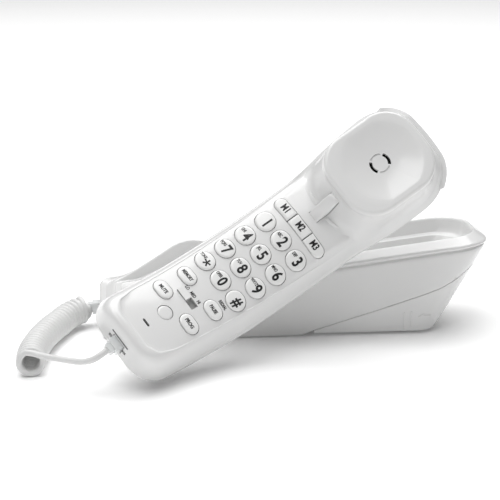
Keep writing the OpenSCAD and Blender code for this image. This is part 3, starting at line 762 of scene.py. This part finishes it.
def legend(name, words, size, x, y, top, body, width=0.86, weight=0.012):
    curve = bpy.data.curves.new(name, "FONT")
    curve.body = words
    curve.align_x, curve.align_y = "CENTER", "CENTER"
    curve.size = 1
    curve.offset = weight
    curve.resolution_u = 4
    text = bpy.data.objects.new(name + "Text", curve)
    bpy.context.scene.collection.objects.link(text)
    bpy.context.view_layer.update()
    mesh = bpy.data.meshes.new_from_object(text.evaluated_get(bpy.context.evaluated_depsgraph_get()))
    bpy.data.objects.remove(text)
    bm = bmesh.new()
    bm.from_mesh(mesh)
    bmesh.ops.triangulate(bm, faces=bm.faces)
    for axis in (0, 1):
        # cut into small cells so that the ink follows the crown of the key
        for k in range(-22, 23):
            point, normal = [0, 0, 0], [0, 0, 0]
            point[axis], normal[axis] = k * 0.09, 1
            bmesh.ops.bisect_plane(bm, geom=bm.verts[:] + bm.edges[:] + bm.faces[:], plane_co=point, plane_no=normal)
    bm.to_mesh(mesh)
    bm.free()
    grow = size / 0.7            # capitals are 0.7 of the font's size
    for v in mesh.vertices:
        px, py = x + v.co.x * grow * width, y + v.co.y * grow
        v.co = onHandset((px, py, top(px, py) + 0.06))
    obj = bpy.data.objects.new(name, mesh)
    bpy.context.scene.collection.objects.link(obj)
    return dressed(obj, padInk, body)


letters = {"key_1": ("1", ""), "key_2": ("2", "ABC"), "key_3": ("3", "DEF"), "key_4": ("4", "GHI"),
           "key_5": ("5", "JKL"), "key_6": ("6", "MNO"), "key_7": ("7", "PQRS"), "key_8": ("8", "TUV"),
           "key_9": ("9", "WXYZ"),
           "key_star": ("*", "TONE"), "key_0": ("0", "OPER"), "key_pound": ("#", "")}
for name, (x, y) in keyPlaces().items():
    top = capTop(x, y, keys["rise"])
    cap = keyCap(name + "Cap", pill(keys["length"], keys["width"], 14), x, y, top)
    dressed(cap, keyAbs, name)
    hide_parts(name)
    big, small = letters[name]
    if big == "*":
        # five short bars from one middle
        arms = []
        for k in range(5):
            a = math.radians(90 + 72 * k)
            strip = [(x + 1.5 + r * math.cos(a) - w * math.sin(a), y - 0.3 + r * math.sin(a) + w * math.cos(a))
                     for r in (0.0, 0.7, 1.4, 2.2) for w in (-0.36 - 0.05 * r, 0.36 + 0.05 * r)]
            arms.append(tidy(makeMesh("arm", [(px, py, top(px, py) + 0.05 + 0.002 * k) for px, py in strip],
                                      [(0, 1, 3, 2), (2, 3, 5, 4), (4, 5, 7, 6)], onHandset)))
        dressed(joined(name + "Star", arms), padInk, name)
    else:
        legend(name + "Digit", big, 6.1, x + 1.3, y - 0.4, top, name, 0.76, 0.03)
    if small:
        legend(name + "Letters", small, 1.8, x - 2.7, y + 1.0, top, name, 0.62, 0.035)
functionKeys = {"key_mute": ("MUTE", -1, "fnLow"), "key_memory": ("MEMORY", -1, "fnHigh"),
                "key_pause": ("PAUSE", 1, "fnHigh"), "key_prog": ("PROG", 1, "fnLow")}
for name, (words, s, row) in functionKeys.items():
    x, y = s * keys["fnX"], keys[row]
    top = capTop(x, y, keys["rise"])
    cap = keyCap(name + "Cap", pill(keys["fnLength"], keys["fnWidth"], 14), x, y, top)
    dressed(cap, keyAbs, name)
    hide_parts(name)
    legend(name + "Word", words, 2.0, x, y, top, name, 0.64 if len(words) > 4 else 0.78, 0.04)


def memoryPlan(k):
    # one third of the bar: round at the bar's ends, square inside
    third, w = keys["mLength"] / 3, keys["mWidth"]
    left, right = k * third - keys["mLength"] / 2, (k + 1) * third - keys["mLength"] / 2
    if k > 0:
        left += keys["mGap"] / 2
    if k < 2:
        right -= keys["mGap"] / 2
    full = pill(keys["mLength"], w, 14)
    middle = (left + right) / 2
    points = [p for p in full if left <= p[0] <= right]
    points += [(left, -w / 2), (left, w / 2)] if k > 0 else []
    points += [(right, -w / 2), (right, w / 2)] if k < 2 else []
    points.sort(key=lambda p: math.atan2(p[1], p[0] - middle))
    return [(px - middle, py) for px, py in points], middle


for k, name in enumerate(("key_m1", "key_m2", "key_m3")):
    plan, middle = memoryPlan(k)
    top = lambda px, py: faceHeight(py) - crown(px) + keys["rise"] - 0.35
    cap = keyCap(name + "Cap", plan, middle, keys["mY"], top)
    dressed(cap, keyAbs, name)
    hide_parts(name)
    legend(name + "Word", "M%d" % (k + 1), 3.7, middle + (1 - k) * 0.6, keys["mY"], top, name, 0.74, 0.03)
panelTop = lambda x, y: faceHeight(y) - crown(x)
for words, x in (("LO", -5.6), ("MED", -0.9), ("HI", 3.8)):
    legend("volume" + words.title(), words, 1.8, x, -37.8, panelTop, "handset", 0.72, 0.035)
legend("redialWord", "REDIAL", 1.8, 11.4, -27.4, panelTop, "handset", 0.68, 0.035)

# volume slider: a knob with a rounded crown on a flat shoe, in a slot
knobLength = volume["length"] - volume["travel"] - 0.6
knobX = volume["x"] - volume["travel"] / 2
knobTop = lambda x, y: faceHeight(y) - crown(x) + 1.0 - 0.03 * (x - knobX) ** 2


def roundedBox(length, width, square=0.35, steps=32):
    # the lower the power, the squarer the corners
    turns = [2 * math.pi * (k + 0.5) / steps for k in range(steps)]
    return [(math.copysign(length / 2 * abs(math.cos(a)) ** square, math.cos(a)),
             math.copysign(width / 2 * abs(math.sin(a)) ** square, math.sin(a))) for a in turns]


knob = keyCap("volumeKnob", roundedBox(knobLength, volume["width"] - 0.6), knobX, volume["y"], knobTop)
dressed(knob, keyAbs, "volume_slider")


def panelLip(s):
    # raised lip that closes the key panel towards the head, on one side of the lever
    rings = []
    for k in range(15):
        t = k / 14
        x, y = s * (4.6 + 11.5 * t), 46.2 + 4.6 * t * t
        high = 0.75 * math.sin(math.pi * min(1, (t * 0.94 + 0.06))) ** 0.5
        rings.append([(x + s * 0.3 * u * t, y + u, faceHeight(y + u) - crown(x) + h * high - 0.35 * (h == 0))
                      for u, h in ((-1.5, 0), (-0.8, 0.45), (-0.25, 0.92), (0.25, 1.0), (0.9, 0.5), (1.7, 0))])
    points, faces = loft(rings, True, True)
    return tidy(makeMesh("panelLip", points, faces, onHandset), 60)


dressed(joined("panelLips", [panelLip(-1), panelLip(1)]), glossAbs, "handset")

# blanking plug in the face
plugTop = lambda x, y: faceHeight(y) - crown(x) + 0.05
blank = keyCap("facePlug", circlePlan(blanking["radius"]), 0, blanking["y"], plugTop)
dressed(blank, glossAbs, "handset")
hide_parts("face_plug")

# hook lever: a smooth tab that stands up from the panel towards the ear cup
lever = {"half": 3.15, "pivot": (42, 0.5),
         "profile": [(-1.8, 1.6), (-1.7, 4.4), (-0.6, 7.2), (3.4, 12.0), (7.2, 16.0), (8.4, 16.9), (10.0, 17.2),
                     (11.6, 16.4), (12.0, 14.6), (9.3, 9.6), (6.5, 6.0), (3.6, 2.4), (2.4, -0.4), (1.2, -2.2),
                     (-0.4, -3.4), (-1.8, -2.4)]}


def hookLever():
    plan = [(py + lever["pivot"][0], pz + lever["pivot"][1]) for py, pz in lever["profile"]]
    middle = (sum(p[0] for p in plan) / len(plan), sum(p[1] for p in plan) / len(plan))
    rings = []
    for x, shrink in ((-lever["half"], 0.93), (-lever["half"] + 0.12, 0.965), (-lever["half"] + 0.5, 1.0),
                      (lever["half"] - 0.5, 1.0), (lever["half"] - 0.12, 0.965), (lever["half"], 0.93)):
        rings.append([(x, middle[0] + (py - middle[0]) * shrink, middle[1] + (pz - middle[1]) * shrink)
                      for py, pz in plan])
    points, faces = loft(rings, True, True)
    return tidy(makeMesh("hookTab", points, faces, onHandset), 35)


tab = hookLever()
dressed(tab, glossAbs, "hook_lever")
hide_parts("hook_lever")
print("keys, legends and lever made")

# the base's plan and its heights along x, in millimetres over the desk
base = {
    "half": 32, "low": -89, "lowCorner": 9, "wall": 2.2, "wallTop": 9.5, "floorGap": 0.6,
    "crest": [(-89, 15.8), (-87, 17.6), (-84, 18.7), (-80, 19.7), (-75, 21.6), (-62, 29.4), (-50, 37.2),
              (-45, 40.2), (-39, 41.7), (-32, 41.2), (-24, 39.8), (-6, 38.3), (14, 40.4),
              (44, 44.6), (97, 51.5), (112, 52.9), (118, 53.1), (127, 53.1)],
    "seam": [(20, 0.8), (24, 2.8), (35, 6.1), (60, 13.7), (87, 22.3), (96, 25.6), (104, 29.6), (110, 33.2),
             (116, 36.5)],
    "end": [(0, 93.6), (1.6, 94.6), (34, 116.8), (42, 121.6), (45, 123.3), (48, 124.2), (53, 124.4)],
    "floor": [(-89, 15.2), (-87, 17.0), (-84, 17.6), (-72, 18.6), (-48, 23), (49, 29.8), (51, 23), (80, 27.5),
              (104, 37), (113, 41), (127, 42)],
    # (inset, drop below the crest) from the outer wall over the bead and the crest into the trough
    "rim": [(0.55, 9.5), (0.5, 7.6), (0.75, 6.7), (1.35, 6.15), (1.05, 5.65), (0.35, 5.2), (0.05, 4.7), (0.1, 4.1),
            (0.5, 3.55), (1.3, 3.1), (2.6, 2.35), (4.2, 1.35), (5.5, 0.6), (6.3, 0.12), (6.9, 0.0), (7.4, 0.25),
            (7.75, 0.9), (8.0, 2.0), (8.3, 5.5), (8.6, 8.2), (9.3, 8.9), (10.6, 9.1), (11.0, 9.5)]}


def tallRadius(inset, z):
    # the plan corner at the tall end tightens towards the desk
    return straight([(0, 11), (12, 14), (34, 20), (46, 22)], z) - inset * 0.55


def basePoint(part, share, inset, height):
    # a point of the plan outline; the tall end leans, so its place depends on the height there
    half = base["half"] - inset
    lowR = max(2.0, base["lowCorner"] - inset * 0.5)
    x0 = base["low"] + inset
    x = 60.0
    for turn in range(5):
        tallR = tallRadius(inset, height(x))
        x1 = straight(base["end"], height(x)) - inset
        a = math.radians(-90 + 90 * share)
        if part == "side":
            px, py = x0 + lowR + (x1 - tallR - x0 - lowR) * share, -half
        else:
            px, py = x1 - tallR + tallR * math.cos(a), -(half - tallR) + tallR * math.sin(a)
        x = px
    return px, py


def baseRing(inset, height):
    half = base["half"] - inset
    lowR = max(2.0, base["lowCorner"] - inset * 0.5)
    x0 = base["low"] + inset
    front = [(x0, -(half - lowR) * share) for share in (0, 0.5)]
    front += [(x0 + lowR - lowR * math.cos(a), -(half - lowR) - lowR * math.sin(a))
              for a in (math.radians(d) for d in range(0, 90, 15))]
    front += [basePoint("side", k / 48, inset, height) for k in range(49)]
    front += [basePoint("tall", k / 12, inset, height) for k in range(1, 13)]
    front.append((front[-1][0], 0))
    ring = front + [(x, -y) for x, y in reversed(front[1:-1])]
    return [(x, y, height(x)) for x, y in ring]


def crestHeight(x):
    return along(base["crest"], x)


def dropShare(x):
    # the bead runs out on the low end
    return straight([(-89, 0.12), (-82, 0.35), (-55, 1)], x)


def bottomHeight(x):
    return 0.8 if x < 20 else straight(base["seam"], x)


def baseHousing():
    rings = []
    for inset, share in ((0.9, -1), (0.6, 0), (0.55, 0.02), (0.55, 0.2), (0.55, 0.45), (0.55, 0.7), (0.55, 0.9)):
        def height(x, share=share):
            low, high = bottomHeight(x), crestHeight(x) - base["wallTop"] * dropShare(x)
            return low + 0.05 if share < 0 else low + 0.25 + (high - low - 0.25) * share
        rings.append(baseRing(inset, height))
    for inset, drop in base["rim"]:
        def height(x, drop=drop, trough=inset > 7.9):
            rim = crestHeight(x) - drop * dropShare(x)
            return max(rim, straight(base["floor"], x) + base["floorGap"]) if trough else rim
        rings.append(baseRing(inset, height))
    for inset, rise in ((11.15, 0.25), (11.6, 0.05), (12.6, 0.0)):
        rings.append(baseRing(inset, lambda x, rise=rise: straight(base["floor"], x) + rise))
    last = rings[-1]
    for share in (0.35, 0.7, 1.0):
        rings.append([(x, y * (1 - share), z) for x, y, z in last])
    points, faces = loft(rings)
    return thicken(tidy(makeMesh("baseHousing", points, faces, onDesk)), base["wall"])


housing = rounded(baseHousing())
lowEndCuts = joined("jackCutter", [prism([(y, z) for y, z in boxPlan(10.4, 7.8)], 0, 0, -95, -82,
                    lambda p, c=c: onDesk((p[2], p[0] + c, p[1] + 10.6))) for c in (0, 14.4)])
cutAway(housing, lowEndCuts)
bpy.data.objects.remove(lowEndCuts)
dressed(housing, glossAbs, "base")
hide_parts("base_top_housing")


wedgeShape = {"start": 26, "foot": 1.6, "edge": 2.3, "wall": 2.0, "window": (16, 18), "windowX": 66}


def wedgeRing(inset, height, start):
    # the bracket under the tall end: open at its thin front edge
    half = base["half"] - 0.55 - inset
    front = [(start, 0), (start, -half * 0.5), (start, -half + 0.6), (start + 0.6, -half)]
    for k in range(1, 53):
        # forty steps along the side, twelve round the corner
        x = 60.0
        a = math.radians(-90 + 7.5 * max(0, k - 40))
        for turn in range(5):
            tallR = tallRadius(inset, height(x))
            x1 = straight(base["end"], height(x)) - inset - 0.4
            x = start + 0.6 + (x1 - tallR - start - 0.6) * k / 40 if k <= 40 else x1 - tallR + tallR * math.cos(a)
        front.append((x, -(half - tallR) + tallR * math.sin(a) if k > 40 else -half))
    front.append((front[-1][0], 0))
    ring = front + [(x, -y) for x, y in reversed(front[1:-1])]
    return [(x, y, height(x)) for x, y in ring]


def wedge():
    seam = lambda x: straight(base["seam"], x) - 0.1
    start, foot, edge = wedgeShape["start"], wedgeShape["foot"], wedgeShape["edge"]
    rings = [wedgeRing(0.25, lambda x: seam(x) + 0.05, start + 0.2), wedgeRing(0, lambda x: seam(x) - 0.25, start)]
    for share in (0.75, 0.5, 0.25):
        rings.append(wedgeRing(0, lambda x, share=share: edge + (seam(x) - 0.25 - edge) * share, start))
    rings += [wedgeRing(0, lambda x: edge, start), wedgeRing(0.2, lambda x: 1.85, start + 0.2),
              wedgeRing(0.8, lambda x: 1.62, start + 0.8)]
    last = rings[-1]
    rings.append([(x, y * 0.9, foot) for x, y, z in last])
    rings.append([(x, 0, foot) for x, y, z in last])
    points, faces = loft(rings)
    return thicken(tidy(makeMesh("wedgeBracket", points, faces, onDesk)), wedgeShape["wall"])


bracket = wedge()
window = prism(boxPlan(*wedgeShape["window"]), wedgeShape["windowX"], 0, -2, 6, onDesk)
cutAway(bracket, window)
bpy.data.objects.remove(window)
rounded(bracket)
dressed(bracket, glossAbs, "base")
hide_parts("wedge_bracket")

# raised ribs and an arrow on both sides of the bracket
marks = []
for s in (-1, 1):
    for x0, low, high in ((75.6, 3.2, 12.4), (79.4, 4.0, 12.8)):
        marks.append(prism(pill(0.9, 0.6, 4), 0, 0, low, high,
                           lambda p, x0=x0, s=s: onDesk((x0 + p[0], s * 31.5 + p[1], p[2]))))
    arrow = [(0, 0), (3.2, 1.9), (3.2, 0.9), (7.0, 0.9), (7.0, -0.1), (3.2, -0.1), (3.2, -1.2)]
    marks.append(prism(arrow, 0, 0, 31.2, 31.85, lambda p, s=s: onDesk((83.2 + p[0], s * p[2], 9.6 + p[1]))))
dressed(joined("bracketMarks", marks), glossAbs, "base")
print("base made")

# finishes of the pieces that keep the shape they came with
finishes = {
    "base_lower_cover": sparkAbs, "rubber_feet": nitrile, "base_screws": zincSteel, "handset_screws": zincSteel,
    "hook_pin": zincSteel, "hook_spring": zincSteel, "receiver_capsule": zincSteel, "microphone": zincSteel,
    "ballast_plate": blackSteel, "ringer_disc": springBrass, "base_pcb": solderMask, "handset_pcb": solderMask,
    "key_mat": nitrile, "mic_boot": nitrile, "receiver_gasket": nitrile, "base_cord_jack": pbt, "line_jack": pbt,
    "handset_jack": pbt, "volume_switch": pbt, "hook_switch": pbt, "volume_slider": keyAbs, "plug_base": plugPc,
    "plug_handset": plugPc}
for name, material in finishes.items():
    node = frame["nodes"][name]
    node.data.materials.clear()
    node.data.materials.append(material)

# a wide sheet of paper that glows a little, so that it stays white all the way back
sheet = {"reach": 3000, "colours": ("FBFBFB", "FEFEFE"), "roughness": 0.9, "glow": 0.06, "specular": 0.1}
floor = makeMesh("floor", [(sx * sheet["reach"], sy * sheet["reach"], 0)
                           for sx, sy in ((-1, -1), (1, -1), (1, 1), (-1, 1))], [(0, 1, 2, 3)], onDesk)
paper, paperTree, paperShader, paperPlace = newMaterial("seamlessPaper")
fibre = addNode(paperTree, "ShaderNodeTexNoise", {"Vector": paperPlace}, Scale=400.0, Detail=2.0)
fibreTint = addNode(paperTree, "ShaderNodeMix", {"Factor": fibre.outputs["Fac"]}, data_type="RGBA")
fibreTint.inputs["A"].default_value = linearFromHex(sheet["colours"][0])
fibreTint.inputs["B"].default_value = linearFromHex(sheet["colours"][1])
paperTree.links.new(fibreTint.outputs[2], paperShader.inputs["Base Color"])
paperShader.inputs["Roughness"].default_value = sheet["roughness"]
paperShader.inputs["Emission Color"].default_value = (1, 1, 1, 1)
paperShader.inputs["Emission Strength"].default_value = sheet["glow"]
paperShader.inputs["Specular IOR Level"].default_value = sheet["specular"]
floor.data.materials.append(paper)


def softbox(name, place, aim, size, power):
    lamp = bpy.data.lights.new(name, "AREA")
    lamp.shape = "RECTANGLE"
    lamp.size, lamp.size_y = size
    lamp.energy = power
    obj = bpy.data.objects.new(name, lamp)
    bpy.context.scene.collection.objects.link(obj)
    obj.location = place
    obj.rotation_mode = "QUATERNION"
    obj.rotation_quaternion = (Vector(aim) - Vector(place)).to_track_quat("-Z", "Y")


softbox("overhead", (-0.1, 0.55, 1.9), (0, 0.1, 0), (2.6, 2.0), 50)
softbox("frontFill", (-0.4, -0.8, 1.7), (0, -0.05, 0.05), (1.0, 1.0), 9)
world = bpy.data.worlds.new("studio")
world.use_nodes = True
world.node_tree.nodes["Background"].inputs["Color"].default_value = (1, 1, 1, 1)
world.node_tree.nodes["Background"].inputs["Strength"].default_value = 0.22
bpy.context.scene.world = world
bpy.context.scene.view_settings.view_transform = "Standard"

print("scene ready")
